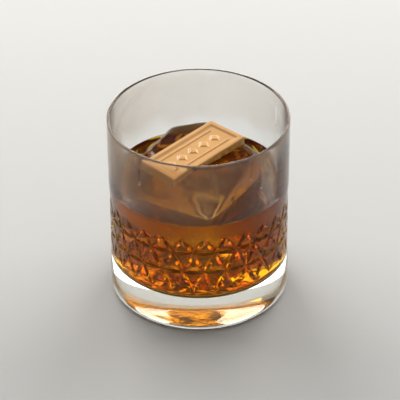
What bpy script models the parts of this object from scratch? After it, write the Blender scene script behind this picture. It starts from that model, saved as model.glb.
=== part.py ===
"""An old fashioned cocktail in its cut rocks glass, with a block of ice and a small chocolate bar on it.

Blender 4.5. Metres, +Z up, and the origin is the middle of the glass's underside.
Four solids: glass, drink, ice_block and chocolate_bar. Where two of them touch there is a gap of 0.3 mm.
"""

import math

import bmesh
import bpy
from mathutils import Vector, noise

MM = 0.001
GAP = 0.3 * MM

# The glass: a straight heavy-based tumbler with a thin rim.
HEIGHT = 92.3 * MM
RIM_RADIUS = 42.3 * MM
SHOULDER_RADIUS = 42.2 * MM
SHOULDER_HEIGHT = 58.0 * MM
BASE_RADIUS = 42.1 * MM
BAND_RADIUS = 41.7 * MM
HEEL_RADIUS = 3.5 * MM
BASE_TOP = 18.5 * MM
RIM_WALL = 1.6 * MM
FLOOR_WALL = 2.9 * MM
FLOOR_HEIGHT = 16.5 * MM
FLOOR_CORNER = 5.5 * MM
CONTACT_INNER_RADIUS = 27.0 * MM
PUNT_DEPTH = 1.2 * MM

# The cut band: a lattice of triangles with a petal ground along each edge. Six petals meet at a node.
REPEATS = 26
ROW_HEIGHTS = (22.6 * MM, 33.8 * MM, 44.4 * MM, 52.6 * MM)
ROWS_WITH_LEVEL_PETALS = (1, 2)
FIRST_NODE_ANGLE = math.radians(-93.7)
PETAL_STEPS = 4
PETAL_DEPTH = 0.8 * MM
PETAL_HALF_WIDTH = 0.1
PITCH = 2 * math.pi / REPEATS
SEGMENTS = REPEATS * PETAL_STEPS

# The drink.
DRINK_LEVEL = 58.0 * MM
DRINK_SEGMENTS = SEGMENTS // 2

# The ice: one hand-cut block that stands on the glass's floor and rises out of the drink.
ICE_TOP = 73.6 * MM
ICE_BOTTOM = FLOOR_HEIGHT + GAP
ICE_MIDDLE = Vector((-1.0 * MM, -3.0 * MM, 48.0 * MM))
ICE_REACH = 120.0 * MM
# Its sides and flats: direction's angle in degrees, the normal's rise, and mm from Z at the drink's level.
ICE_SIDES = (
    (-118.4, -0.08, 30.2),
    (-119.0, 0.50, 31.2),
    (-36.9, -0.08, 26.2),
    (-66.3, 1.45, 36.2),
    (160.0, -0.08, 31.4),
    (152.5, 0.64, 31.6),
    (101.0, -0.02, 30.0),
    (99.0, 0.30, 30.6),
    (43.0, -0.04, 25.0),
    (40.0, 0.36, 27.0),
)
ICE_ROUNDING = 1.1 * MM
ICE_BORDER = 2.0 * MM
ICE_MESH_STEP = 9.0 * MM
ICE_MELT = 1.1 * MM
ICE_MELT_BIAS = 0.35
ICE_MELT_WAVES = 2.6
ICE_MELT_PLACE = Vector((3.1, 7.7, 1.3))
ICE_PRECISION = 0.0001 * MM

# The chocolate bar: a moulded tablet with a raised border, flat on the ice.
BAR_LENGTH = 49.0 * MM
BAR_WIDTH = 21.8 * MM
BAR_THICKNESS = 4.4 * MM
BAR_DRAFT = 0.35 * MM
BAR_CENTRE = Vector((-2.6 * MM, -6.8 * MM))
BAR_TURN = math.radians(47.9)
BORDER_WIDTH = 2.0 * MM
BORDER_SLOPE = 0.9 * MM
PANEL_DEPTH = 0.8 * MM
EDGE_ROUNDING = 0.45 * MM
RELIEF_HEIGHT = 0.3 * MM
RELIEF_SINK = 0.3 * MM
RIB_WIDTH = 0.7 * MM
RIB_OFFSETS = (-5.6 * MM, 5.6 * MM)
LOZENGES = 5
LOZENGE_LENGTH = 7.0 * MM
LOZENGE_WIDTH = 7.6 * MM
PANEL_REACH = 37.0 * MM

PARTS = {
    "glass": ((0.93, 0.95, 0.95, 1.0), 0.03),
    "drink": ((0.60, 0.22, 0.04, 1.0), 0.05),
    "ice_block": ((0.88, 0.91, 0.93, 1.0), 0.12),
    "chocolate_bar": ((0.80, 0.56, 0.29, 1.0), 0.42),
}


def clear_scene():
    for obj in list(bpy.data.objects):
        bpy.data.objects.remove(obj)


def material(name):
    colour, roughness = PARTS[name]
    made = bpy.data.materials.new(name)
    made.use_nodes = True
    shader = made.node_tree.nodes["Principled BSDF"]
    shader.inputs["Base Color"].default_value = colour
    shader.inputs["Roughness"].default_value = roughness
    shader.inputs["Metallic"].default_value = 0.0
    return made


def object_from(bm, name, smooth_angle=math.radians(28)):
    """A new object from a bmesh, with its faces pointing outwards."""
    bmesh.ops.recalc_face_normals(bm, faces=bm.faces[:])
    mesh = bpy.data.meshes.new(name)
    bm.to_mesh(mesh)
    bm.free()
    mesh.shade_smooth()
    mesh.set_sharp_from_angle(angle=smooth_angle)
    if name in PARTS:
        mesh.materials.append(material(name))
    obj = bpy.data.objects.new(name, mesh)
    bpy.context.scene.collection.objects.link(obj)
    return obj


def hide_helper(obj):
    obj.hide_render = True
    obj.display_type = "WIRE"


def arc(centre_radius, centre_height, radius, start, end, steps):
    """Points of an arc in a turned profile, as (radius, height), with both ends."""
    turns = [start + (end - start) * i / steps for i in range(steps + 1)]
    return [
        (centre_radius + radius * math.cos(t), centre_height + radius * math.sin(t))
        for t in turns
    ]


# --- The glass ---------------------------------------------------------------


def inner_radius(height):
    """The bore narrows evenly from the thin rim to the floor."""
    share = (HEIGHT - height) / (HEIGHT - FLOOR_HEIGHT)
    return RIM_RADIUS - RIM_WALL - (FLOOR_WALL - RIM_WALL) * share


def lattice_place(node):
    """The angle and height of a lattice node, which is (row, step). Rows shift by half a pitch in turn."""
    row, step = node
    return FIRST_NODE_ANGLE + (step + 0.5 * (row % 2)) * PITCH, ROW_HEIGHTS[row]


def wrapped(node):
    return node[0], node[1] % REPEATS


def on_band(angle, height, depth=0.0):
    radius = BAND_RADIUS - depth
    return Vector((radius * math.cos(angle), radius * math.sin(angle), height))


def has_petal(a, b):
    return a[0] != b[0] or a[0] in ROWS_WITH_LEVEL_PETALS


def petal_bulge(share):
    """0 at the petal's tips and 1 at its middle."""
    return 4 * share * (1 - share)


def edge_line(bm, made, a, b):
    """Vertices from node a to node b, shared with the next cell: a petal's sharp bottom, or a plain line."""
    low, high = sorted((a, b))
    depth = PETAL_DEPTH if has_petal(a, b) else 0.0
    (low_angle, low_height), (high_angle, high_height) = map(lattice_place, (low, high))
    line = []
    for i in range(PETAL_STEPS + 1):
        share = i / PETAL_STEPS
        if i in (0, PETAL_STEPS):
            key = wrapped(low if i == 0 else high)
        else:
            key = (wrapped(low), wrapped(high), i)
        if key not in made:
            angle = low_angle + (high_angle - low_angle) * share
            height = low_height + (high_height - low_height) * share
            made[key] = bm.verts.new(on_band(angle, height, depth * petal_bulge(share)))
        line.append(made[key])
    return line if (a, b) == (low, high) else line[::-1]


def petal_edge(bm, a, b, middle, line):
    """The petal's lip on the cell's own side of the edge from a to b, bulging towards the cell's middle."""
    if not has_petal(a, b):
        return line
    ends = [Vector((angle * BAND_RADIUS, height)) for angle, height in map(lattice_place, (a, b))]
    along = ends[1] - ends[0]
    inward = Vector((-along.y, along.x)).normalized()
    if inward.dot(middle - ends[0]) < 0:
        inward.negate()
    lip = [line[0]]
    for i in range(1, PETAL_STEPS):
        share = i / PETAL_STEPS
        width = PETAL_HALF_WIDTH * along.length * petal_bulge(share)
        flat = ends[0] + along * share + inward * width
        lip.append(bm.verts.new(on_band(flat.x / BAND_RADIUS, flat.y)))
    return lip + [line[-1]]


def fill_cell(bm, made, corners):
    """One triangle of the lattice: ground faces down to the petals' bottoms, round a smooth field."""
    flat = [Vector((angle * BAND_RADIUS, height)) for angle, height in map(lattice_place, corners)]
    middle = (flat[0] + flat[1] + flat[2]) / 3
    outline = []
    for a, b in zip(corners, corners[1:] + corners[:1]):
        line = edge_line(bm, made, a, b)
        lip = petal_edge(bm, a, b, middle, line)
        outline += lip[:-1]
        if lip is line:
            continue
        for i in range(PETAL_STEPS):
            ring = (line[i], line[i + 1], lip[i + 1], lip[i])
            bm.faces.new(dict.fromkeys(ring))
    hub = bm.verts.new(on_band(middle.x / BAND_RADIUS, middle.y))
    for a, b in zip(outline, outline[1:] + outline[:1]):
        bm.faces.new((hub, a, b))


def cut_band(bm):
    """The whole lattice. Returns the rings of vertices along its lowest and highest rows."""
    made = {}
    for row in range(len(ROW_HEIGHTS) - 1):
        for k in range(REPEATS):
            if row % 2 == 0:
                fill_cell(bm, made, [(row, k), (row, k + 1), (row + 1, k)])
                fill_cell(bm, made, [(row, k + 1), (row + 1, k), (row + 1, k + 1)])
            else:
                fill_cell(bm, made, [(row, k), (row, k + 1), (row + 1, k + 1)])
                fill_cell(bm, made, [(row, k), (row + 1, k), (row + 1, k + 1)])
    rings = []
    for row in (0, len(ROW_HEIGHTS) - 1):
        ring = []
        for k in range(REPEATS):
            ring += edge_line(bm, made, (row, k), (row, k + 1))[:-1]
        shift = PETAL_STEPS // 2 if row % 2 else 0
        rings.append(ring[-shift:] + ring[:-shift] if shift else ring)
    return rings


def ring_of(bm, radius, height):
    angles = (FIRST_NODE_ANGLE + j * PITCH / PETAL_STEPS for j in range(SEGMENTS))
    return [bm.verts.new((radius * math.cos(t), radius * math.sin(t), height)) for t in angles]


def join_rings(bm, rings):
    for lower, upper in zip(rings, rings[1:]):
        for j in range(SEGMENTS):
            k = (j + 1) % SEGMENTS
            bm.faces.new((lower[j], lower[k], upper[k], upper[j]))


def cap_ring(bm, ring, height):
    hub = bm.verts.new((0.0, 0.0, height))
    for j in range(SEGMENTS):
        bm.faces.new((hub, ring[j], ring[(j + 1) % SEGMENTS]))


def bore_profile():
    """The inside of the glass from the rim to the floor's flat middle, as (radius, height)."""
    corner_height = FLOOR_HEIGHT + FLOOR_CORNER
    corner_middle = inner_radius(corner_height) - FLOOR_CORNER
    return [
        (inner_radius(DRINK_LEVEL), DRINK_LEVEL),
        *arc(corner_middle, corner_height, FLOOR_CORNER, 0.0, -math.pi / 2, 4),
    ]


def make_glass():
    bm = bmesh.new()
    band_bottom, band_top = cut_band(bm)
    heel = arc(BASE_RADIUS - HEEL_RADIUS, HEEL_RADIUS, HEEL_RADIUS, -math.pi / 2, 0.0, 3)
    lower = [(CONTACT_INNER_RADIUS, 0.0), *heel, (BASE_RADIUS, BASE_TOP)]
    lower_rings = [ring_of(bm, r, z) for r, z in lower]
    cap_ring(bm, lower_rings[0], PUNT_DEPTH)
    join_rings(bm, [*lower_rings, band_bottom])
    lip = RIM_WALL / 2
    rim = arc(RIM_RADIUS - lip, HEIGHT - lip, lip, 0.0, math.pi, 4)
    upper = [(SHOULDER_RADIUS, SHOULDER_HEIGHT), *rim, *bore_profile()]
    upper_rings = [ring_of(bm, r, z) for r, z in upper]
    join_rings(bm, [band_top, *upper_rings])
    cap_ring(bm, upper_rings[-1], FLOOR_HEIGHT)
    return object_from(bm, "glass")


# --- The drink ---------------------------------------------------------------


def turned_solid(profile, segments):
    """A solid turned about Z from (radius, height) points, whose first and last lie on the axis."""
    bm = bmesh.new()
    line = [bm.verts.new((radius, 0.0, height)) for radius, height in profile]
    edges = [bm.edges.new(pair) for pair in zip(line, line[1:])]
    bmesh.ops.spin(
        bm,
        geom=line + edges,
        cent=(0.0, 0.0, 0.0),
        axis=(0.0, 0.0, 1.0),
        angle=2 * math.pi,
        steps=segments,
        use_merge=True,
    )
    bmesh.ops.remove_doubles(bm, verts=bm.verts[:], dist=1e-6)
    return bm


def make_drink(ice_space):
    """Fills the bore up to the level, clear of the glass by the gap, and is cut round the ice."""
    walls = [(radius - GAP, height) for radius, height in bore_profile()]
    walls = [(radius, height + GAP if height < DRINK_LEVEL else height) for radius, height in walls]
    bottom = walls[-1][1]
    drink = object_from(
        turned_solid([(0.0, DRINK_LEVEL), *walls, (0.0, bottom)], DRINK_SEGMENTS), "drink"
    )
    cut = drink.modifiers.new("room_for_ice", "BOOLEAN")
    cut.operation = "DIFFERENCE"
    cut.solver = "EXACT"
    cut.object = ice_space
    return drink


# --- The ice -----------------------------------------------------------------


def ice_planes():
    """The block's sides as (outward normal, distance from the origin), the top and the bottom last."""
    planes = []
    for angle, rise, distance in ICE_SIDES:
        turn = math.radians(angle)
        outward = Vector((math.cos(turn), math.sin(turn), rise))
        place = Vector((math.cos(turn) * distance, math.sin(turn) * distance, 0.0)) * MM
        place.z = DRINK_LEVEL
        outward.normalize()
        planes.append((outward, outward.dot(place)))
    planes.append((Vector((0.0, 0.0, 1.0)), ICE_TOP))
    planes.append((Vector((0.0, 0.0, -1.0)), -ICE_BOTTOM))
    return planes


def block_of(planes):
    """The convex block inside the planes, with a loop of edges close to each of its edges."""
    bm = bmesh.new()
    bmesh.ops.create_cube(bm, size=ICE_REACH)
    bmesh.ops.translate(bm, vec=ICE_MIDDLE, verts=bm.verts[:])
    for normal, distance in planes:
        cut = bmesh.ops.bisect_plane(
            bm,
            geom=bm.verts[:] + bm.edges[:] + bm.faces[:],
            plane_co=normal * distance,
            plane_no=normal,
            clear_outer=True,
        )
        edges = [item for item in cut["geom_cut"] if isinstance(item, bmesh.types.BMEdge)]
        bmesh.ops.holes_fill(bm, edges=edges)
    bmesh.ops.remove_doubles(bm, verts=bm.verts[:], dist=ICE_ROUNDING)
    bmesh.ops.recalc_face_normals(bm, faces=bm.faces[:])
    bmesh.ops.inset_individual(
        bm, faces=bm.faces[:], thickness=ICE_BORDER, use_even_offset=True
    )
    for edge in list(bm.edges):
        cuts = int(edge.calc_length() / ICE_MESH_STEP)
        if cuts:
            bmesh.ops.subdivide_edges(bm, edges=[edge], cuts=cuts)
    bmesh.ops.triangulate(bm, faces=bm.faces[:], quad_method="BEAUTY", ngon_method="BEAUTY")
    return bm


def onto_ice(direction, planes, grow):
    """The point of the rounded and melted block in a direction from its middle, found by halving."""
    wave = noise.noise(direction * ICE_MELT_WAVES + ICE_MELT_PLACE)
    melt = ICE_MELT * max(wave + ICE_MELT_BIAS, 0.0)
    near, far = 0.0, ICE_REACH
    while far - near > ICE_PRECISION:
        point = ICE_MIDDLE + direction * (near + far) / 2
        beyond = [
            normal.dot(point) - distance - grow + melt * (1 - abs(normal.z))
            for normal, distance in planes
        ]
        largest = max(beyond)
        total = sum(math.exp((value - largest) / ICE_ROUNDING) for value in beyond)
        if largest + ICE_ROUNDING * math.log(total) > 0:
            far = (near + far) / 2
        else:
            near = (near + far) / 2
    return ICE_MIDDLE + direction * (near + far) / 2


def ice_block(name, grow):
    planes = ice_planes()
    bm = block_of(planes)
    for vert in bm.verts:
        vert.co = onto_ice((vert.co - ICE_MIDDLE).normalized(), planes, grow)
    return object_from(bm, name, math.radians(50))


def make_ice():
    return ice_block("ice_block", 0.0)


def make_ice_space():
    """The ice grown by the gap, which is cut out of the drink."""
    space = ice_block("ice_space", GAP)
    hide_helper(space)
    return space


# --- The chocolate bar -------------------------------------------------------


def bar_body():
    """The tablet: sides with draft, rounded edges, and a panel sunk inside a sloped border."""
    bm = bmesh.new()
    bmesh.ops.create_cube(bm, size=1.0)
    bmesh.ops.scale(bm, vec=(BAR_LENGTH, BAR_WIDTH, BAR_THICKNESS), verts=bm.verts[:])
    bmesh.ops.translate(bm, vec=(0.0, 0.0, BAR_THICKNESS / 2), verts=bm.verts[:])
    for vert in bm.verts:
        if vert.co.z > BAR_THICKNESS / 2:
            vert.co.x -= math.copysign(BAR_DRAFT, vert.co.x)
            vert.co.y -= math.copysign(BAR_DRAFT, vert.co.y)
    bmesh.ops.bevel(
        bm,
        geom=bm.edges[:],
        offset=EDGE_ROUNDING,
        offset_type="OFFSET",
        affect="EDGES",
        segments=2,
        profile=0.5,
        clamp_overlap=True,
        material=-1,
    )
    bm.normal_update()
    top = max(bm.faces, key=lambda face: face.calc_area() * face.normal.z)
    bmesh.ops.inset_region(bm, faces=[top], thickness=BORDER_WIDTH, use_even_offset=True)
    bmesh.ops.inset_region(
        bm, faces=[top], thickness=BORDER_SLOPE, depth=-PANEL_DEPTH, use_even_offset=True
    )
    return object_from(bm, "chocolate_bar")


def relief_box(name, middle, length, width):
    """A rib with a sloping top edge, sunk a little into the panel."""
    bm = bmesh.new()
    bmesh.ops.create_cube(bm, size=1.0)
    height = RELIEF_HEIGHT + RELIEF_SINK
    bmesh.ops.scale(bm, vec=(length, width, height), verts=bm.verts[:])
    for vert in bm.verts:
        if vert.co.z > 0:
            vert.co.y *= 0.4
    panel = BAR_THICKNESS - PANEL_DEPTH
    place = (middle.x, middle.y, panel - RELIEF_SINK + height / 2)
    bmesh.ops.translate(bm, vec=place, verts=bm.verts[:])
    return object_from(bm, name)


def relief_lozenge(name, middle):
    """A low four-sided point, sunk a little into the panel."""
    bm = bmesh.new()
    height = RELIEF_HEIGHT + RELIEF_SINK
    bmesh.ops.create_cone(
        bm, cap_ends=True, segments=4, radius1=0.5, radius2=0.08, depth=height
    )
    bmesh.ops.scale(bm, vec=(LOZENGE_LENGTH, LOZENGE_WIDTH, 1.0), verts=bm.verts[:])
    panel = BAR_THICKNESS - PANEL_DEPTH
    place = (middle.x, middle.y, panel - RELIEF_SINK + height / 2)
    bmesh.ops.translate(bm, vec=place, verts=bm.verts[:])
    return object_from(bm, name)


def bar_relief():
    pieces = [
        relief_box(f"rib_{i}", Vector((0.0, offset)), PANEL_REACH, RIB_WIDTH)
        for i, offset in enumerate(RIB_OFFSETS)
    ]
    spacing = PANEL_REACH / LOZENGES
    for i in range(LOZENGES):
        along = (i - (LOZENGES - 1) / 2) * spacing
        pieces.append(relief_lozenge(f"lozenge_{i}", Vector((along, 0.0))))
    return pieces


def fuse(obj, pieces):
    """Joins the pieces to the object with one Boolean union and removes them."""
    group = bpy.data.collections.new("to_fuse")
    bpy.context.scene.collection.children.link(group)
    for piece in pieces:
        bpy.context.scene.collection.objects.unlink(piece)
        group.objects.link(piece)
    union = obj.modifiers.new("fuse", "BOOLEAN")
    union.operation = "UNION"
    union.solver = "EXACT"
    union.operand_type = "COLLECTION"
    union.collection = group
    bpy.context.view_layer.update()
    fused = bpy.data.meshes.new_from_object(
        obj.evaluated_get(bpy.context.evaluated_depsgraph_get())
    )
    obj.modifiers.clear()
    obj.data = fused
    for piece in pieces:
        bpy.data.objects.remove(piece)
    bpy.data.collections.remove(group)


def make_bar():
    bar = bar_body()
    fuse(bar, bar_relief())
    bar.rotation_euler = (0.0, 0.0, BAR_TURN)
    bar.location = (*BAR_CENTRE, ICE_TOP + GAP)
    return bar


def main():
    clear_scene()
    make_glass()
    make_ice()
    make_drink(make_ice_space())
    make_bar()


if __name__ == "__main__":
    main()
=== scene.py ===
"""Old fashioned cocktail: cut tumbler, amber drink, one block of clear ice and a bar of blond chocolate.

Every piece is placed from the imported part, and is built by an operator listed in the sidebar panel.
"""

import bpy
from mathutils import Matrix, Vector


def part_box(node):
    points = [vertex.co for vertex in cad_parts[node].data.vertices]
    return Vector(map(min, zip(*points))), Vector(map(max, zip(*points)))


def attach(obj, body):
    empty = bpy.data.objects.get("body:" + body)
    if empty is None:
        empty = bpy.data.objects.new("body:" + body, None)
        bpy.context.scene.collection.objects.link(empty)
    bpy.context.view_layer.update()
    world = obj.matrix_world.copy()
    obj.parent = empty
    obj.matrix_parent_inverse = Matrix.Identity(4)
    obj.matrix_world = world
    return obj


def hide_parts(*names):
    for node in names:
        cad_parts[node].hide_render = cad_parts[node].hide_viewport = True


bl_info = {
    "name": "Old fashioned cocktail",
    "version": (1, 0, 0),
    "blender": (4, 5, 0),
    "location": "View3D > Sidebar > Cocktail",
    "description": "Builds a cut tumbler of amber drink over one clear ice block, with a chocolate bar",
    "category": "Add Mesh",
}

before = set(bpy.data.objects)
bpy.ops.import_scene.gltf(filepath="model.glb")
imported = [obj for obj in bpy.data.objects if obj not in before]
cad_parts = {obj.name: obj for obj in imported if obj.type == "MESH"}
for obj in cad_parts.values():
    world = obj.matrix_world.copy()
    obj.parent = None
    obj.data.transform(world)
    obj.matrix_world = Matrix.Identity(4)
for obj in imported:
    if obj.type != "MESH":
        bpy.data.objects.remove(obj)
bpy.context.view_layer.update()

import math
import random

import bmesh
import bpy
from bpy.props import FloatProperty, FloatVectorProperty, IntProperty, PointerProperty
from mathutils import Matrix, Vector, noise

MM = 0.001
BODY = "root"

# Points closer than this are one point.
MERGE_DISTANCE = 1e-6

# The tumbler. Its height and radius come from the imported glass, and the wall above the cuts keeps a
# hair inside it, which leaves room for the loose beads.
GLASS_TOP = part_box("glass")[1].z
GLASS_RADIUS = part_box("glass")[1].x
BEAD_ROOM = 0.1 * MM
RIM_RADIUS = GLASS_RADIUS - BEAD_ROOM
SHOULDER_RADIUS = 42.1 * MM
SHOULDER_HEIGHT = 58.0 * MM
BAND_RADIUS = 41.7 * MM
BASE_RADIUS = 42.1 * MM
BASE_TOP = 18.5 * MM
HEEL_RADIUS = 3.5 * MM
RIM_WALL = 1.5 * MM
FLOOR_WALL = 2.8 * MM
FLOOR_HEIGHT = 16.5 * MM
FLOOR_CORNER = 5.5 * MM
CORNER_STEPS = 12
ROUND_EDGE_STEPS = 10

# The wall above the cuts has rows this high, fine enough to carry the fog.
FOG_ROW = 1.1 * MM

# The hollow underneath, which throws the drink's colour into the clear base.
PUNT_RADIUS = 35.0 * MM
PUNT_DEPTH = 2.2 * MM
PUNT_STEPS = 8

# The cut band. The turned mesh has the same number of steps for each repeat of the pattern.
REPEATS = 26
TURNING_STEPS = 16 * REPEATS
PITCH = 2 * math.pi / REPEATS
FIRST_NODE_ANGLE = math.radians(-93.7)
ROW_HEIGHTS = (22.6 * MM, 33.8 * MM, 44.4 * MM, 52.6 * MM)
ROWS_WITH_LEVEL_PETALS = (1, 2)

# The wheel that grinds the petals: half the angle of its edge, how far its sides reach, how far past
# a petal's ends it turns, and its steps.
WHEEL_HALF_ANGLE = math.radians(56)
WHEEL_REACH = 1.9 * MM
WHEEL_OVERRUN = 1.1
WHEEL_STEPS = 14

# The fog of condensation on the outer wall: the heights between which it grows and thins out again,
# and how ragged its edges are. Heights are squeezed before the noise, so that its tongues stand tall.
# The fog is thickest in front, and thinner towards the right and the back.
FOG_GROWS = (59 * MM, 71 * MM)
FOG_THINS = (88 * MM, 93 * MM)
FOG_THINNING = 0.75
FOG_RAG = 4 * MM
FOG_RAG_SIZE = 11 * MM
FOG_RAG_SQUEEZE = 0.6
FOG_MEAN = 0.62
FOG_MORE_IN_FRONT = 0.28
FOG_LESS_AT_RIGHT = 0.1

# How rough the thickest fog makes the glass.
FOG_BLUR = 0.265

# At the right the wall has thawed and the fog starts higher. The angles run from the front.
THAW_RISE = 15 * MM
THAW_BEGINS = (math.radians(8), math.radians(32))
THAW_ENDS = (math.radians(80), math.radians(150))

# Where condensation has run down the wall: angle from the front, top, bottom and width. A run
# wanders on a path of its own, and its edges fade between two shares of its width.
RUNS = (
    (math.radians(-44.0), 90.0 * MM, 83.0 * MM, 1.1 * MM),
    (math.radians(-39.5), 84.0 * MM, 76.5 * MM, 1.6 * MM),
    (math.radians(34.0), 89.5 * MM, 80.5 * MM, 1.2 * MM),
    (math.radians(42.0), 88.0 * MM, 73.5 * MM, 1.5 * MM),
    (math.radians(48.5), 86.5 * MM, 79.0 * MM, 1.0 * MM),
    (math.radians(-71.0), 82.0 * MM, 70.0 * MM, 1.2 * MM),
    (math.radians(118.0), 85.0 * MM, 74.0 * MM, 1.3 * MM),
)
RUN_WANDER = 0.8 * MM
RUN_BEND = 4 * MM
RUN_APART = 9
RUN_EDGE = (0.35, 0.8)

# Water beads on the wall, with heights and radii in mm. The stretch is a bead's height over its
# width. The drop at the foot of each run is sized and raised by shares of the run's width.
BEAD_SEED = 21
BEAD_HEIGHTS = (60.0, 89.0)
BEAD_RADII = (0.1, 0.24)
BEAD_STRETCH = (1.0, 1.4)
BEAD_FLATNESS = 0.35
DROP_LIFT = 0.4
DROP_RADIUS = 0.5
DROP_STRETCH = 1.5

# Liquids and solids lap by a hair, so that light crosses from one to the next with no air between.
LAP = 0.15 * MM
MENISCUS_RISE = 0.9 * MM
MENISCUS_LENGTH = 0.8 * MM
MENISCUS_ROW = 0.4 * MM
MENISCUS_ROWS = 12

# The drink's tint grows over this height above the floor. The density is what deepens it further in.
TINT_GROWS = 2 * MM
DEPTH_DENSITY = 190.0

# The ice. Chips off its top edges: a point on the chip, in mm, and the way that it faces.
CHIPS = (
    ((-17.0, 17.0, 71.5), (-0.62, 0.50, 0.60)),
    ((-9.0, 24.0, 71.0), (-0.20, 0.75, 0.62)),
    ((27.0, 3.0, 71.5), (0.66, 0.30, 0.69)),
    ((27.5, -5.5, 69.5), (0.85, -0.15, 0.50)),
    ((-24.0, -4.0, 71.0), (-0.66, -0.25, 0.70)),
)
ICE_VOXEL = 0.8 * MM
ICE_ROUNDING = 6

# Melting wears broad dimples with fine ripples in them, and leaves the level faces flat.
DIMPLE_SIZE = 11 * MM
DIMPLE_BIAS = 0.25
RIPPLE_SIZE = 3.2 * MM
RIPPLE_SHARE = 0.25
RIPPLE_PLACE = Vector((5.0, 1.0, 2.0))
LEVEL_FACE = (0.8, 0.97)

# Cracks inside the block: the middle in mm, the way that the crack faces, its length and its width.
CRACKS = (
    ((7.0, -13.0, 60.0), (0.75, -0.62, 0.15), 14.0 * MM, 3.0 * MM),
    ((15.0, 7.0, 66.0), (0.5, 0.2, 0.8), 10.0 * MM, 2.4 * MM),
    ((-12.0, 12.0, 65.0), (-0.4, 0.6, 0.6), 9.0 * MM, 2.2 * MM),
)
CRACK_GAP = 0.12 * MM
CRACK_RAG = 0.45
CRACK_RAG_WAVES = 4
CRACK_CURL = 0.35
CRACK_CURL_WAVES = 1.6

# Air bubbles round the middle of the block: their spread along each axis and their radii, in mm.
BUBBLES = 60
BUBBLE_SEED = 7
BUBBLE_SPREAD = (5.0, 5.0, 8.0)
BUBBLE_RADII = (0.12, 0.4)

# The chocolate bar.
BAR_LOW, BAR_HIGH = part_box("chocolate_bar")
BAR_LENGTH = 49.0 * MM
BAR_WIDTH = 21.8 * MM
BAR_DRAFT = 0.35 * MM
BAR_TURN = math.radians(47.9)
BAR_VOXEL = 0.22 * MM
BAR_ROUNDING = 3
BORDER_WIDTH = 2.0 * MM
BORDER_SLOPE = 0.9 * MM
PANEL_DEPTH = 0.8 * MM
PANEL_REACH = 37.0 * MM
RELIEF_HEIGHT = 0.5 * MM
RELIEF_SINK = 0.3 * MM
RIB_WIDTH = 0.7 * MM
RIB_OFFSETS = (-5.6 * MM, 5.6 * MM)
LOZENGES = 5
LOZENGE_LENGTH = 7.0 * MM
LOZENGE_WIDTH = 7.6 * MM
LOZENGE_TAPER = 0.5

# One long side was snapped from the next bar. It falls back under its lip, and less towards the far
# end. Grit roughens the break, and a longer wave bends the whole edge.
SNAP_DEPTH = 1.5 * MM
SNAP_LIP = 0.9 * MM
SNAP_SLOPE = 1.3 * MM
SNAP_REACH = 5.0 * MM
SNAP_EASES = (BAR_LENGTH / 12, BAR_LENGTH / 2)
SNAP_EASING = 0.7
SNAP_GRIT = 2.4 * MM
SNAP_GRIT_MEAN = 0.75
SNAP_GRIT_SHARE = 0.5
SNAP_WAVE = 9.0 * MM
SNAP_WOBBLE = 0.35 * MM

# How much darker and lighter than its own colour the chocolate's clouds are.
CLOUD_SHADES = (0.88, 1.1)

# The paper sweep, in metres: how far its floor reaches, the bend up into its wall, and its top.
FLOOR_REACH = 1.5
SWEEP_RADIUS = 0.9
SWEEP_TOP = 2.6
SWEEP_STEPS = 96
BEND_STEPS = 16

# The air that stays under the glass, which makes a mirror of its underside.
FLOOR_GAP = 0.1 * MM

# The lamps: name, place, the point they face, width and height in metres, and power in watts. The
# side boxes start where the two behind end, because a gap between them shows as a dark bar in the base.
LAMPS = (
    ("key_softbox", (-0.5, 1.1, 0.9), (0, 0, 0.05), (0.65, 0.6), 10),
    ("rim_softbox", (0.55, 1.1, 0.8), (0, 0, 0.05), (0.6, 0.4), 6.5),
    ("left_softbox", (-0.96, 0.62, 0.72), (0, 0, 0.03), (0.8, 0.5), 6),
    ("right_softbox", (0.96, 0.62, 0.72), (0, 0, 0.03), (0.8, 0.5), 6),
    ("back_strip", (0.1, 1.3, 0.22), (0, 0, 0.04), (1.4, 0.25), 9),
    ("overhead", (0.1, -0.2, 1.7), (0, 0, 0), (1.2, 1.2), 3),
)
AIR_COLOUR = "f2f4f6"
AIR_STRENGTH = 0.22

# The camera: a long lens, a little more than a third of the way up from level.
CAMERA_DISTANCE = 1.2
CAMERA_ELEVATION = math.radians(34.36)
CAMERA_ROLL = math.radians(-0.351)
CAMERA_TARGET = Vector((0.0005, 0.0, 0.04564))
CAMERA_LENS = 230.3
SENSOR_WIDTH = 36.0

# Light crosses up to ten surfaces of glass, drink and ice each way.
LIGHT_BOUNCES = 40

# Glints brighter than this only add noise, since the picture is white from 1.
BRIGHTEST_GLINT = 2.5


# --- Small tools ---------------------------------------------------------------------------------


def linear(hex_colour):
    """The linear RGBA of an sRGB hex colour such as "d9a066"."""
    channels = []
    for i in (0, 2, 4):
        value = int(hex_colour[i : i + 2], 16) / 255
        channels.append(value / 12.92 if value <= 0.04045 else ((value + 0.055) / 1.055) ** 2.4)
    return (*channels, 1.0)


def add_node(tree, kind, inputs=None, **settings):
    """Adds a node with its settings. An input given as a socket is linked, and any other is set."""
    node = tree.nodes.new(kind)
    for name, value in settings.items():
        setattr(node, name, value)
    for name, value in (inputs or {}).items():
        if isinstance(value, bpy.types.NodeSocket):
            tree.links.new(value, node.inputs[name])
        else:
            node.inputs[name].default_value = value
    return node


def new_material(name, **shader_inputs):
    """A material with one Principled shader whose plain sockets are set. Returns it with its tree."""
    material = bpy.data.materials.new(name)
    material.use_nodes = True
    tree = material.node_tree
    shader = tree.nodes["Principled BSDF"]
    for socket, value in shader_inputs.items():
        shader.inputs[socket.replace("_", " ")].default_value = value
    return material, tree, shader


def smooth_rise(value, low, high):
    """0 up to low, 1 from high, and a smooth rise between."""
    share = min(max((value - low) / (high - low), 0.0), 1.0)
    return share * share * (3 - 2 * share)


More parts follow.
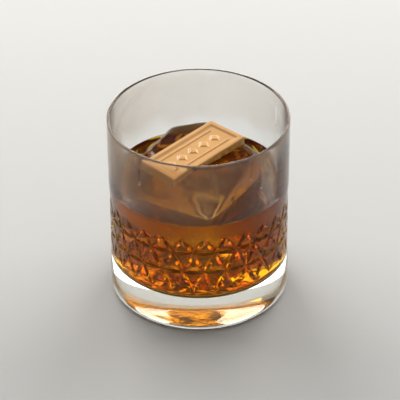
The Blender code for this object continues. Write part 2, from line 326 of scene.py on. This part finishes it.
def arc(centre_radius, centre_height, radius, start, end, steps):
    """Points of an arc in a turned profile, as (radius, height), with both ends."""
    turns = [start + (end - start) * i / steps for i in range(steps + 1)]
    return [
        (centre_radius + radius * math.cos(t), centre_height + radius * math.sin(t))
        for t in turns
    ]


def straight(start, end, step):
    """Evenly spaced profile points from start up to, but without, end."""
    count = max(1, round(math.dist(start, end) / step))
    return [
        tuple(a + (b - a) * i / count for a, b in zip(start, end))
        for i in range(count)
    ]


def turned(profile, steps):
    """A surface turned about Z from (radius, height) points, closed where both ends lie on the axis."""
    bm = bmesh.new()
    line = [bm.verts.new((radius, 0.0, height)) for radius, height in profile]
    edges = [bm.edges.new(pair) for pair in zip(line, line[1:])]
    bmesh.ops.spin(
        bm,
        geom=line + edges,
        cent=(0.0, 0.0, 0.0),
        axis=(0.0, 0.0, 1.0),
        angle=2 * math.pi,
        steps=steps,
        use_merge=True,
    )
    bmesh.ops.remove_doubles(bm, verts=bm.verts[:], dist=MERGE_DISTANCE)
    bmesh.ops.recalc_face_normals(bm, faces=bm.faces[:])
    return bm


def object_of(bm, name):
    """A new object that holds the bmesh, at the origin."""
    mesh = bpy.data.meshes.new(name)
    bm.to_mesh(mesh)
    bm.free()
    piece = bpy.data.objects.new(name, mesh)
    bpy.context.scene.collection.objects.link(piece)
    return piece


def set_in_place(bm, size, place):
    """Scales a shape of unit size and moves it to its place."""
    bmesh.ops.scale(bm, vec=size, verts=bm.verts[:])
    bmesh.ops.translate(bm, vec=place, verts=bm.verts[:])


def apply_modifiers(piece):
    """Turns what the modifiers show into the piece's own mesh."""
    bpy.context.view_layer.update()
    shown = piece.evaluated_get(bpy.context.evaluated_depsgraph_get())
    mesh = bpy.data.meshes.new_from_object(shown)
    piece.modifiers.clear()
    piece.data = mesh


def even_and_round(piece, voxel, rounds):
    """Gives the piece an even mesh, and wears its edges round."""
    remesh = piece.modifiers.new("even_mesh", "REMESH")
    remesh.mode = "VOXEL"
    remesh.voxel_size = voxel
    smooth = piece.modifiers.new("round_edges", "SMOOTH")
    smooth.factor = 0.5
    smooth.iterations = rounds
    apply_modifiers(piece)


def combine(piece, others, operation):
    """One Boolean of the piece with all the others, which are then removed."""
    group = bpy.data.collections.new("operands")
    bpy.context.scene.collection.children.link(group)
    for other in others:
        bpy.context.scene.collection.objects.unlink(other)
        group.objects.link(other)
    boolean = piece.modifiers.new("combine", "BOOLEAN")
    boolean.operation = operation
    boolean.solver = "MANIFOLD"
    boolean.operand_type = "COLLECTION"
    boolean.collection = group
    apply_modifiers(piece)
    for other in others:
        bpy.data.objects.remove(other)
    bpy.data.collections.remove(group)
    if not piece.data.polygons:
        raise RuntimeError(f"the Boolean left nothing of {piece.name}")


def merged_copy(node):
    """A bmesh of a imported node's surface, with its loose triangles joined."""
    bm = bmesh.new()
    bm.from_mesh(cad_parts[node].data)
    bmesh.ops.remove_doubles(bm, verts=bm.verts[:], dist=MERGE_DISTANCE)
    return bm


def finish_piece(piece, material, sharp, node=None):
    """Paints, shades and mounts a finished piece. Edges sharper than so many degrees stay sharp."""
    piece.data.materials.clear()
    piece.data.materials.append(material)
    piece.data.shade_smooth()
    piece.data.set_sharp_from_angle(angle=math.radians(sharp))
    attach(piece, BODY)
    if node:
        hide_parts(node)


# --- Materials -----------------------------------------------------------------------------------


def fogged_soda_lime_glass(settings):
    """Pressed and wheel-cut soda-lime glass. Condensation blurs and pales what shows through it, and its
    warm tan is a painted glow of the amber drink.

    Its mirror colour is a warm grey, so that the pale studio doesn't wash out the drink behind it.
    """
    material, tree, shader = new_material(
        "fogged_soda_lime_glass", IOR=1.52, Specular_Tint=linear("c5b098")
    )
    fog = add_node(tree, "ShaderNodeAttribute", attribute_name="fog")
    place = add_node(tree, "ShaderNodeTexCoord")
    mist = add_node(
        tree,
        "ShaderNodeTexNoise",
        {"Vector": place.outputs["Object"], "Scale": 1 / (12 * MM), "Detail": 3.0, "Roughness": 0.5},
    )
    patches = add_node(
        tree,
        "ShaderNodeMapRange",
        {"Value": mist.outputs["Fac"], "From Min": 0.3, "From Max": 0.7, "To Min": 0.4, "To Max": 1.0},
    )
    wet = add_node(
        tree,
        "ShaderNodeMath",
        {0: fog.outputs["Fac"], 1: patches.outputs["Result"]},
        operation="MULTIPLY",
    )
    blur = add_node(tree, "ShaderNodeMath", {0: wet.outputs[0], 1: FOG_BLUR}, operation="MULTIPLY")
    veil = add_node(
        tree,
        "ShaderNodeMapRange",
        {"Value": wet.outputs[0], "To Min": 1.0, "To Max": 1.0 - settings.fog},
    )
    # The fog's warm tan is painted light. It stands in for the drink's amber glow on the condensation,
    # which is white itself.
    colour = add_node(
        tree,
        "ShaderNodeMix",
        {"Factor": fog.outputs["Fac"], "A": linear("fbfdfc"), "B": linear("ccab86")},
        data_type="RGBA",
    )
    tree.links.new(colour.outputs["Result"], shader.inputs["Base Color"])
    tree.links.new(blur.outputs[0], shader.inputs["Roughness"])
    tree.links.new(veil.outputs["Result"], shader.inputs["Transmission Weight"])
    return material


def amber_spirit(tint, depth_colour):
    """Whiskey with bitters: clear amber, and it deepens with the length that light travels in it.

    Its underside has no tint of its own, so that the thick glass below keeps clear.
    """
    material, tree, shader = new_material(
        "amber_spirit",
        IOR=1.345,
        Roughness=0.0,
        Transmission_Weight=1.0,
        # Its mirror colour is a painted dim amber, so that reflections of the pale studio don't wash out
        # the drink.
        Specular_Tint=linear("d9aa6c"),
    )
    place = add_node(tree, "ShaderNodeTexCoord")
    height = add_node(tree, "ShaderNodeSeparateXYZ", {"Vector": place.outputs["Object"]})
    above_floor = add_node(
        tree,
        "ShaderNodeMapRange",
        {
            "Value": height.outputs["Z"],
            "From Min": FLOOR_HEIGHT,
            "From Max": FLOOR_HEIGHT + TINT_GROWS,
        },
    )
    colour = add_node(
        tree,
        "ShaderNodeMix",
        {"Factor": above_floor.outputs["Result"], "A": linear("ffffff"), "B": (*tint, 1.0)},
        data_type="RGBA",
    )
    tree.links.new(colour.outputs["Result"], shader.inputs["Base Color"])
    absorb = add_node(
        tree,
        "ShaderNodeVolumeAbsorption",
        {"Color": (*depth_colour, 1.0), "Density": DEPTH_DENSITY},
    )
    output = tree.nodes["Material Output"]
    tree.links.new(absorb.outputs["Volume"], output.inputs["Volume"])
    return material


def wet_clear_ice():
    """Hand-cut block ice, wet all over, with faint ripples and a few duller patches from melting.

    It is tinted amber. Part of this is the film of drink that wets it, and part is painted amber light
    that the drink throws through real ice.
    """
    # The amber Base Color is partly a film of drink and partly painted light from the drink.
    material, tree, shader = new_material(
        "wet_clear_ice", IOR=1.31, Transmission_Weight=1.0, Base_Color=linear("e2b577")
    )
    place = add_node(tree, "ShaderNodeTexCoord")
    dull = add_node(
        tree,
        "ShaderNodeTexNoise",
        {"Vector": place.outputs["Object"], "Scale": 1 / (14 * MM), "Detail": 3.0},
    )
    rough = add_node(
        tree,
        "ShaderNodeMapRange",
        {"Value": dull.outputs["Fac"], "From Min": 0.5, "From Max": 0.72, "To Min": 0.02, "To Max": 0.2},
    )
    ripple = add_node(
        tree,
        "ShaderNodeTexNoise",
        {"Vector": place.outputs["Object"], "Scale": 1 / (2.2 * MM), "Detail": 2.0},
    )
    bump = add_node(
        tree,
        "ShaderNodeBump",
        {"Height": ripple.outputs["Fac"], "Strength": 0.5, "Distance": 0.2 * MM},
    )
    tree.links.new(rough.outputs["Result"], shader.inputs["Roughness"])
    tree.links.new(bump.outputs["Normal"], shader.inputs["Normal"])
    return material


def frozen_flaw():
    """Trapped air and cracks in ice: thin white films that scatter light."""
    material, _, _ = new_material(
        "frozen_flaw",
        Roughness=0.3,
        Transmission_Weight=0.8,
        IOR=1.2,
        Base_Color=linear("f8fafc"),
    )
    return material


def water_bead():
    """Water that has condensed on cold glass: small clear lenses with a bright spot each."""
    material, _, _ = new_material(
        "water_bead", Roughness=0.0, Transmission_Weight=1.0, IOR=1.333, Base_Color=linear("ffffff")
    )
    return material


def moulded_blond_chocolate(colour):
    """Caramelised white chocolate from a polycarbonate mould: satin, warm and slightly translucent."""
    material, tree, shader = new_material(
        "moulded_blond_chocolate",
        IOR=1.46,
        Subsurface_Weight=0.25,
        Subsurface_Radius=(1.0, 0.55, 0.25),
        Subsurface_Scale=1.2 * MM,
        Coat_Weight=0.6,
        Coat_Roughness=0.22,
    )
    dark, light = ((*(min(part * shade, 1.0) for part in colour), 1.0) for shade in CLOUD_SHADES)
    place = add_node(tree, "ShaderNodeTexCoord")
    cloud = add_node(
        tree,
        "ShaderNodeTexNoise",
        {"Vector": place.outputs["Object"], "Scale": 1 / (9 * MM), "Detail": 4.0},
    )
    tint = add_node(
        tree,
        "ShaderNodeMix",
        {"Factor": cloud.outputs["Fac"], "A": dark, "B": light},
        data_type="RGBA",
    )
    bloom = add_node(
        tree,
        "ShaderNodeTexNoise",
        {"Vector": place.outputs["Object"], "Scale": 1 / (1.6 * MM), "Detail": 6.0},
    )
    satin = add_node(
        tree,
        "ShaderNodeMapRange",
        {"Value": bloom.outputs["Fac"], "From Min": 0.3, "From Max": 0.7, "To Min": 0.42, "To Max": 0.6},
    )
    grain = add_node(
        tree,
        "ShaderNodeBump",
        {"Height": bloom.outputs["Fac"], "Strength": 0.3, "Distance": 0.06 * MM},
    )
    tree.links.new(tint.outputs["Result"], shader.inputs["Base Color"])
    tree.links.new(satin.outputs["Result"], shader.inputs["Roughness"])
    tree.links.new(grain.outputs["Normal"], shader.inputs["Normal"])
    return material


def matt_paper(colour):
    """The seamless paper that the glass stands on: plain and matt."""
    material, _, _ = new_material("matt_paper", Roughness=0.9, Base_Color=(*colour, 1.0))
    return material


# --- The tumbler ---------------------------------------------------------------------------------


def inner_radius(height):
    """The bore narrows evenly from the rim to the floor."""
    share = (GLASS_TOP - height) / (GLASS_TOP - FLOOR_HEIGHT)
    return RIM_RADIUS - RIM_WALL - (FLOOR_WALL - RIM_WALL) * share


def bore_profile(grow=0.0):
    """The bore's rounded foot and its floor, moved out into the glass by grow."""
    corner_height = FLOOR_HEIGHT + FLOOR_CORNER
    corner_middle = inner_radius(corner_height) - FLOOR_CORNER
    curve = arc(corner_middle, corner_height, FLOOR_CORNER + grow, 0.0, -math.pi / 2, CORNER_STEPS)
    return [*curve, (0.0, FLOOR_HEIGHT - grow)]


def tumbler_profile():
    """The tumbler's section, from the middle of its underside to the middle of its floor."""
    lip = RIM_WALL / 2
    shares = (i / PUNT_STEPS for i in range(PUNT_STEPS + 1))
    punt = ((PUNT_RADIUS * share, PUNT_DEPTH * (1 - share**2)) for share in shares)
    heel_middle = BASE_RADIUS - HEEL_RADIUS
    heel = arc(heel_middle, HEEL_RADIUS, HEEL_RADIUS, -math.pi / 2, 0.0, ROUND_EDGE_STEPS)
    rim_start = (RIM_RADIUS, GLASS_TOP - lip)
    return [
        *punt,
        *heel,
        (BASE_RADIUS, BASE_TOP),
        *((BAND_RADIUS, height) for height in ROW_HEIGHTS),
        *straight((SHOULDER_RADIUS, SHOULDER_HEIGHT), rim_start, FOG_ROW),
        *arc(RIM_RADIUS - lip, GLASS_TOP - lip, lip, 0.0, math.pi, ROUND_EDGE_STEPS),
        *bore_profile(),
    ]


def lattice_place(row, step):
    """The angle and height of a node of the cut band. Rows shift by half a pitch in turn."""
    return FIRST_NODE_ANGLE + (step + 0.5 * (row % 2)) * PITCH, ROW_HEIGHTS[row]


def petals():
    """The pairs of nodes that a petal joins: along the middle rows, and up to the row above."""
    for row in range(len(ROW_HEIGHTS)):
        for step in range(REPEATS):
            here = lattice_place(row, step)
            if row in ROWS_WITH_LEVEL_PETALS:
                yield here, lattice_place(row, step + 1)
            if row + 1 < len(ROW_HEIGHTS):
                side = 1 if row % 2 else -1
                yield here, lattice_place(row + 1, step)
                yield here, lattice_place(row + 1, step + side)


def on_band(angle, height, depth=0.0):
    """A point on the wall of the cut band, or at a depth in it."""
    radius = BAND_RADIUS - depth
    return Vector((radius * math.cos(angle), radius * math.sin(angle), height))


def wheel_cut(start, end, depth):
    """The stretch of a grinding wheel's rim that grinds one petal from node to node."""
    angle = (start[0] + end[0]) / 2
    out = Vector((math.cos(angle), math.sin(angle), 0.0))
    tips = on_band(*start), on_band(*end)
    bottom = on_band(angle, (start[1] + end[1]) / 2, depth)
    chord = (tips[0] + tips[1]) / 2
    along = tips[1] - tips[0]
    sag = (chord - bottom).dot(out)
    wheel_radius = (along.length**2 / 4 + sag**2) / (2 * sag)
    side = along.cross(out).normalized()
    centre = bottom + out * wheel_radius
    reach = math.asin(along.length / 2 / wheel_radius) * WHEEL_OVERRUN
    spread = side * WHEEL_REACH * math.tan(WHEEL_HALF_ANGLE)
    rim = [bottom, bottom + out * WHEEL_REACH + spread, bottom + out * WHEEL_REACH - spread]
    back = Matrix.Rotation(-reach, 3, side)
    bm = bmesh.new()
    face = bm.faces.new([bm.verts.new(centre + back @ (point - centre)) for point in rim])
    bmesh.ops.spin(bm, geom=[face], cent=centre, axis=side, angle=2 * reach, steps=WHEEL_STEPS)
    bmesh.ops.recalc_face_normals(bm, faces=bm.faces[:])
    return object_of(bm, "wheel_cut")


def fog_at(point):
    """How much condensation lies at a point of the wall: none inside or low down, broken by the runs."""
    if math.hypot(point.x, point.y) < inner_radius(point.z) + RIM_WALL / 2:
        return 0.0
    angle = math.atan2(point.x, -point.y)
    spot = Vector((point.x, point.y, point.z * FOG_RAG_SQUEEZE)) / FOG_RAG_SIZE
    rag = noise.noise(spot) * FOG_RAG
    thawed = THAW_RISE * smooth_rise(angle, *THAW_BEGINS)
    thawed *= 1 - smooth_rise(angle, *THAW_ENDS)
    fog = smooth_rise(point.z + rag - thawed, *FOG_GROWS)
    fog *= 1 - FOG_THINNING * smooth_rise(point.z + rag / 2, *FOG_THINS)
    fog *= FOG_MEAN + FOG_MORE_IN_FRONT * math.cos(angle) - FOG_LESS_AT_RIGHT * math.sin(angle)
    for run_angle, top, bottom, width in RUNS:
        wander = noise.noise(Vector((run_angle * RUN_APART, 0.0, point.z / RUN_BEND))) * RUN_WANDER
        off = abs((angle - run_angle) * RIM_RADIUS + wander)
        if bottom < point.z < top:
            fog *= smooth_rise(off / width, *RUN_EDGE)
    return fog


class COCKTAIL_OT_cut_tumbler(bpy.types.Operator):
    """Turn the tumbler, grind its band of petals and lay the condensation on its wall"""

    bl_idname = "cocktail.cut_tumbler"
    bl_label = "Cut Tumbler"

    def execute(self, context):
        settings = context.scene.cocktail
        piece = object_of(turned(tumbler_profile(), TURNING_STEPS), "cut_tumbler")
        cuts = [wheel_cut(start, end, settings.cut_depth) for start, end in petals()]
        combine(piece, cuts, "DIFFERENCE")
        fog = piece.data.attributes.new("fog", "FLOAT", "POINT")
        fog.data.foreach_set("value", [fog_at(vert.co) for vert in piece.data.vertices])
        finish_piece(piece, fogged_soda_lime_glass(settings), sharp=24, node="glass")
        return {"FINISHED"}


# --- The ice -------------------------------------------------------------------------------------


def knock_off(bm, place, normal):
    """Splits a chip off the block: cuts it with a plane and closes the face."""
    cut = bmesh.ops.bisect_plane(
        bm,
        geom=bm.verts[:] + bm.edges[:] + bm.faces[:],
        plane_co=place,
        plane_no=normal.normalized(),
        clear_outer=True,
    )
    edges = [item for item in cut["geom_cut"] if isinstance(item, bmesh.types.BMEdge)]
    bmesh.ops.holes_fill(bm, edges=edges)


def melt(bm, amount):
    """Moves the surface in and out in broad dimples and fine ripples, as water wears ice."""
    bm.normal_update()
    moves = []
    for vert in bm.verts:
        broad = noise.noise(vert.co / DIMPLE_SIZE) - DIMPLE_BIAS
        fine = noise.noise(vert.co / RIPPLE_SIZE + RIPPLE_PLACE)
        worn = 1 - smooth_rise(abs(vert.normal.z), *LEVEL_FACE)
        moves.append(vert.normal * (broad * amount + fine * amount * RIPPLE_SHARE) * worn)
    for vert, move in zip(bm.verts, moves):
        vert.co += move


def crack(bm, place, facing, length, width):
    """A thin crack that curls a little and has a ragged edge."""
    turn = facing.to_track_quat("Z", "Y").to_matrix().to_4x4()
    lay = Matrix.Translation(place) @ turn
    sheet = bmesh.ops.create_icosphere(bm, subdivisions=4, radius=0.5)["verts"]
    for vert in sheet:
        wave = noise.noise(Vector((*vert.co.xy * CRACK_CURL_WAVES, place.y / MM)))
        curl = wave * width * CRACK_CURL
        rag = 1 + CRACK_RAG * noise.noise(Vector((*vert.co.xy * CRACK_RAG_WAVES, place.x / MM)))
        across = Vector((vert.co.x * width, vert.co.y * length, 0.0)) * rag
        vert.co = lay @ (across + Vector((0.0, 0.0, vert.co.z * CRACK_GAP + curl)))


class COCKTAIL_OT_ice_block(bpy.types.Operator):
    """Chip, round and melt one block of clear ice"""

    bl_idname = "cocktail.ice_block"
    bl_label = "Ice Block"

    def execute(self, context):
        settings = context.scene.cocktail
        bm = merged_copy("ice_block")
        for place, facing in CHIPS:
            knock_off(bm, Vector(place) * MM, Vector(facing))
        piece = object_of(bm, "clear_ice")
        even_and_round(piece, ICE_VOXEL, ICE_ROUNDING)
        bm = bmesh.new()
        bm.from_mesh(piece.data)
        melt(bm, settings.ice_melt)
        bm.to_mesh(piece.data)
        bm.free()
        finish_piece(piece, wet_clear_ice(), sharp=60, node="ice_block")
        self.make_flaws()
        return {"FINISHED"}

    def make_flaws(self):
        """Sinks the air bubbles and the cracks in the block."""
        bm = bmesh.new()
        draw = random.Random(BUBBLE_SEED)
        low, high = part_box("ice_block")
        middle = (low + high) / 2
        for _ in range(BUBBLES):
            spot = Vector([draw.gauss(0, spread) for spread in BUBBLE_SPREAD]) * MM
            radius = draw.uniform(*BUBBLE_RADII) * MM
            place = Matrix.Translation(middle + spot)
            bmesh.ops.create_icosphere(bm, subdivisions=1, radius=radius, matrix=place)
        for place, facing, length, width in CRACKS:
            crack(bm, Vector(place) * MM, Vector(facing), length, width)
        piece = object_of(bm, "ice_flaws")
        finish_piece(piece, frozen_flaw(), sharp=180)


# --- The drink -----------------------------------------------------------------------------------


def drink_profile(level):
    """The drink's section: level, but for a small climb at the wall, and lapping into the glass."""
    wall = inner_radius(level)
    climb = [
        (wall - reach, level + MENISCUS_RISE * math.exp(-reach / MENISCUS_LENGTH))
        for reach in (i * MENISCUS_ROW for i in range(MENISCUS_ROWS, 0, -1))
    ]
    return [
        (0.0, level),
        *climb,
        (wall + LAP, level + MENISCUS_RISE),
        *bore_profile(LAP),
    ]


class COCKTAIL_OT_drink(bpy.types.Operator):
    """Pour the drink round the ice up to its level"""

    bl_idname = "cocktail.drink"
    bl_label = "Drink"

    def execute(self, context):
        settings = context.scene.cocktail
        ice = bpy.data.objects.get("clear_ice")
        if ice is None:
            raise RuntimeError("make the ice block before the drink")
        profile = drink_profile(settings.drink_level)
        piece = object_of(turned(profile, TURNING_STEPS // 2), "amber_drink")
        bm = bmesh.new()
        bm.from_mesh(ice.data)
        bm.normal_update()
        for vert in bm.verts:
            vert.co -= vert.normal * LAP
        combine(piece, [object_of(bm, "room_for_ice")], "DIFFERENCE")
        material = amber_spirit(settings.drink_tint, settings.drink_depth_colour)
        finish_piece(piece, material, sharp=40, node="drink")
        return {"FINISHED"}


# --- The chocolate bar ---------------------------------------------------------------------------


def bar_body(thickness):
    """The tablet: sides with draft, and a panel sunk inside a sloped border."""
    bm = bmesh.new()
    bmesh.ops.create_cube(bm, size=1.0)
    set_in_place(bm, (BAR_LENGTH, BAR_WIDTH, thickness), (0.0, 0.0, thickness / 2))
    for vert in bm.verts:
        if vert.co.z > thickness / 2:
            vert.co.x -= math.copysign(BAR_DRAFT, vert.co.x)
            vert.co.y -= math.copysign(BAR_DRAFT, vert.co.y)
    bm.normal_update()
    top = max(bm.faces, key=lambda face: face.normal.z)
    bmesh.ops.inset_region(bm, faces=[top], thickness=BORDER_WIDTH, use_even_offset=True)
    bmesh.ops.inset_region(
        bm, faces=[top], thickness=BORDER_SLOPE, depth=-PANEL_DEPTH, use_even_offset=True
    )
    bmesh.ops.recalc_face_normals(bm, faces=bm.faces[:])
    return object_of(bm, "chocolate_tablet")


def relief(panel_height):
    """Fine ribs and a row of low lozenges, sunk a little into the panel."""
    height = RELIEF_HEIGHT + RELIEF_SINK
    middle = panel_height - RELIEF_SINK + height / 2
    pieces = []
    for offset in RIB_OFFSETS:
        bm = bmesh.new()
        bmesh.ops.create_cube(bm, size=1.0)
        set_in_place(bm, (PANEL_REACH, RIB_WIDTH, height), (0.0, offset, middle))
        pieces.append(object_of(bm, "rib"))
    spacing = PANEL_REACH / LOZENGES
    for i in range(LOZENGES):
        bm = bmesh.new()
        bmesh.ops.create_cone(
            bm, cap_ends=True, segments=4, radius1=0.5, radius2=0.5 * LOZENGE_TAPER, depth=height
        )
        along = (i - (LOZENGES - 1) / 2) * spacing
        set_in_place(bm, (LOZENGE_LENGTH, LOZENGE_WIDTH, 1.0), (along, 0.0, middle))
        pieces.append(object_of(bm, "lozenge"))
    return pieces


def snap_side(piece, thickness):
    """Draws the long side at -Y in under its lip, unevenly, and makes its edge a little wavy."""
    edge = BAR_WIDTH / 2
    for vert in piece.data.vertices:
        place = vert.co
        near = smooth_rise(-place.y, edge - SNAP_REACH, edge - SNAP_REACH / 4)
        under = 1 - smooth_rise(place.z, thickness - SNAP_LIP - SNAP_SLOPE, thickness - SNAP_LIP)
        eased = 1 - SNAP_EASING * smooth_rise(place.x, *SNAP_EASES)
        grit = SNAP_GRIT_MEAN + SNAP_GRIT_SHARE * noise.noise(place / SNAP_GRIT)
        wobble = (1 + noise.noise(Vector((place.x / SNAP_WAVE, 0.0, 0.0)))) / 2
        place.y += near * (under * eased * grit * SNAP_DEPTH + wobble * SNAP_WOBBLE)


class COCKTAIL_OT_chocolate_bar(bpy.types.Operator):
    """Mould the chocolate bar and lay it on the ice"""

    bl_idname = "cocktail.chocolate_bar"
    bl_label = "Chocolate Bar"

    def execute(self, context):
        settings = context.scene.cocktail
        thickness = BAR_HIGH.z - BAR_LOW.z
        piece = bar_body(thickness)
        combine(piece, relief(thickness - PANEL_DEPTH), "UNION")
        even_and_round(piece, BAR_VOXEL, BAR_ROUNDING)
        snap_side(piece, thickness)
        place = (BAR_LOW + BAR_HIGH) / 2
        place.z = BAR_LOW.z
        piece.data.transform(Matrix.Translation(place) @ Matrix.Rotation(BAR_TURN, 4, "Z"))
        material = moulded_blond_chocolate(settings.chocolate_colour)
        finish_piece(piece, material, sharp=60, node="chocolate_bar")
        return {"FINISHED"}


# --- Condensation --------------------------------------------------------------------------------


def bead(bm, angle, height, radius, stretch):
    """One water bead that sits on the wall, drawn out upright and flattened against the glass."""
    out = Vector((math.sin(angle), -math.cos(angle), 0.0))
    share = (GLASS_TOP - height) / (GLASS_TOP - SHOULDER_HEIGHT)
    wall = RIM_RADIUS - (RIM_RADIUS - SHOULDER_RADIUS) * share
    lay = Matrix.Translation(out * wall + Vector((0.0, 0.0, height)))
    lay @= out.to_track_quat("Z", "Y").to_matrix().to_4x4()
    lay @= Matrix.Diagonal((1.0, stretch, BEAD_FLATNESS, 1.0))
    bmesh.ops.create_icosphere(bm, subdivisions=1, radius=radius, matrix=lay)


class COCKTAIL_OT_condensation(bpy.types.Operator):
    """Bead the cold wall with condensation and hang a drop at the end of each run"""

    bl_idname = "cocktail.condensation"
    bl_label = "Condensation"

    def execute(self, context):
        settings = context.scene.cocktail
        draw = random.Random(BEAD_SEED)
        bm = bmesh.new()
        for _ in range(settings.beads):
            angle = draw.uniform(-math.pi, math.pi)
            height = draw.uniform(*BEAD_HEIGHTS) * MM
            radius = draw.uniform(*BEAD_RADII) * MM
            bead(bm, angle, height, radius, draw.uniform(*BEAD_STRETCH))
        for angle, _, bottom, width in RUNS:
            bead(bm, angle, bottom + width * DROP_LIFT, width * DROP_RADIUS, DROP_STRETCH)
        piece = object_of(bm, "condensation_beads")
        finish_piece(piece, water_bead(), sharp=180)
        return {"FINISHED"}


# --- The studio ----------------------------------------------------------------------------------


def softbox(name, place, target, size, power):
    """One soft white lamp that faces its target."""
    light = bpy.data.lights.new(name, "AREA")
    light.shape = "RECTANGLE"
    light.size, light.size_y = size
    light.energy = power
    lamp = bpy.data.objects.new(name, light)
    lamp.location = place
    lamp.rotation_euler = (Vector(target) - Vector(place)).to_track_quat("-Z", "Y").to_euler()
    bpy.context.scene.collection.objects.link(lamp)


class COCKTAIL_OT_studio(bpy.types.Operator):
    """Set the floor and its sweep, the soft lamps and the camera"""

    bl_idname = "cocktail.studio"
    bl_label = "Studio"

    def execute(self, context):
        scene = context.scene
        bend = arc(FLOOR_REACH, SWEEP_RADIUS, SWEEP_RADIUS, -math.pi / 2, 0.0, BEND_STEPS)
        wall_top = (FLOOR_REACH + SWEEP_RADIUS, SWEEP_TOP)
        bm = turned([(0.0, 0.0), *bend, wall_top], SWEEP_STEPS)
        bmesh.ops.translate(bm, vec=(0.0, 0.0, -FLOOR_GAP), verts=bm.verts[:])
        sweep = object_of(bm, "paper_sweep")
        sweep.data.materials.append(matt_paper(scene.cocktail.floor_colour))
        sweep.data.shade_smooth()
        for lamp in LAMPS:
            softbox(*lamp)
        world = bpy.data.worlds.new("studio_air")
        world.use_nodes = True
        air = world.node_tree.nodes["Background"]
        air.inputs["Color"].default_value = linear(AIR_COLOUR)
        air.inputs["Strength"].default_value = AIR_STRENGTH
        scene.world = world
        scene.view_settings.view_transform = "Standard"
        scene.cycles.max_bounces = LIGHT_BOUNCES
        scene.cycles.transmission_bounces = LIGHT_BOUNCES
        scene.cycles.transparent_max_bounces = LIGHT_BOUNCES
        scene.cycles.glossy_bounces = LIGHT_BOUNCES
        scene.cycles.sample_clamp_indirect = BRIGHTEST_GLINT
        self.place_camera(scene)
        return {"FINISHED"}

    def place_camera(self, scene):
        """Sets the camera up in front, tilted down at the glass."""
        data = bpy.data.cameras.new("camera")
        data.lens = CAMERA_LENS
        data.sensor_width = SENSOR_WIDTH
        data.clip_start = 0.1
        data.clip_end = 10.0
        back = Vector((0.0, -math.cos(CAMERA_ELEVATION), math.sin(CAMERA_ELEVATION)))
        camera = bpy.data.objects.new("camera", data)
        camera.location = CAMERA_TARGET + back * CAMERA_DISTANCE
        level = (-back).to_track_quat("-Z", "Y").to_matrix()
        camera.rotation_euler = (level @ Matrix.Rotation(CAMERA_ROLL, 3, "Z")).to_euler()
        scene.collection.objects.link(camera)
        scene.camera = camera


# --- The add-on ----------------------------------------------------------------------------------


class CocktailSettings(bpy.types.PropertyGroup):
    """What a user would change about the drink and its glass."""

    drink_level: FloatProperty(
        name="Drink Level",
        description="Height of the drink's surface above the table",
        default=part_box("drink")[1].z,
        unit="LENGTH",
    )
    cut_depth: FloatProperty(
        name="Cut Depth",
        description="Depth of each ground petal at its middle",
        default=0.85 * MM,
        unit="LENGTH",
    )
    ice_melt: FloatProperty(
        name="Ice Melt",
        description="Depth of the dimples that melting leaves",
        default=0.45 * MM,
        unit="LENGTH",
    )
    fog: FloatProperty(
        name="Fog",
        description="How white the condensation is where it is thickest",
        default=0.28,
        subtype="FACTOR",
    )
    beads: IntProperty(
        name="Beads",
        description="Number of loose water beads on the cold wall",
        default=110,
    )
    drink_tint: FloatVectorProperty(
        name="Drink Tint",
        description="Colour that even a thin layer of the drink gives to what shows through it",
        default=(0.88, 0.64, 0.055),
        subtype="COLOR",
    )
    drink_depth_colour: FloatVectorProperty(
        name="Drink Depth Colour",
        description="Colour that the drink turns to with depth",
        default=(0.88, 0.75, 0.0),
        subtype="COLOR",
    )
    chocolate_colour: FloatVectorProperty(
        name="Chocolate Colour",
        description="Colour of the blond chocolate",
        default=linear("dca04e")[:3],
        subtype="COLOR",
    )
    floor_colour: FloatVectorProperty(
        name="Floor Colour",
        description="Colour of the paper that the glass stands on",
        default=linear("cccac6")[:3],
        subtype="COLOR",
    )


OPERATORS = (
    COCKTAIL_OT_cut_tumbler,
    COCKTAIL_OT_ice_block,
    COCKTAIL_OT_drink,
    COCKTAIL_OT_chocolate_bar,
    COCKTAIL_OT_condensation,
    COCKTAIL_OT_studio,
)


class COCKTAIL_PT_panel(bpy.types.Panel):
    """The sidebar panel with the sizes, colours and pieces"""

    bl_idname = "COCKTAIL_PT_panel"
    bl_label = "Old Fashioned Cocktail"
    bl_space_type = "VIEW_3D"
    bl_region_type = "UI"
    bl_category = "Cocktail"

    def draw(self, context):
        for name in CocktailSettings.__annotations__:
            self.layout.prop(context.scene.cocktail, name)
        for operator in OPERATORS:
            self.layout.operator(operator.bl_idname)


CLASSES = (CocktailSettings, *OPERATORS, COCKTAIL_PT_panel)


def register():
    for cls in CLASSES:
        bpy.utils.register_class(cls)
    bpy.types.Scene.cocktail = PointerProperty(type=CocktailSettings)


def unregister():
    del bpy.types.Scene.cocktail
    for cls in reversed(CLASSES):
        bpy.utils.unregister_class(cls)


def main():
    register()
    bpy.ops.cocktail.cut_tumbler()
    bpy.ops.cocktail.ice_block()
    bpy.ops.cocktail.drink()
    bpy.ops.cocktail.chocolate_bar()
    bpy.ops.cocktail.condensation()
    bpy.ops.cocktail.studio()


if __name__ == "__main__":
    main()
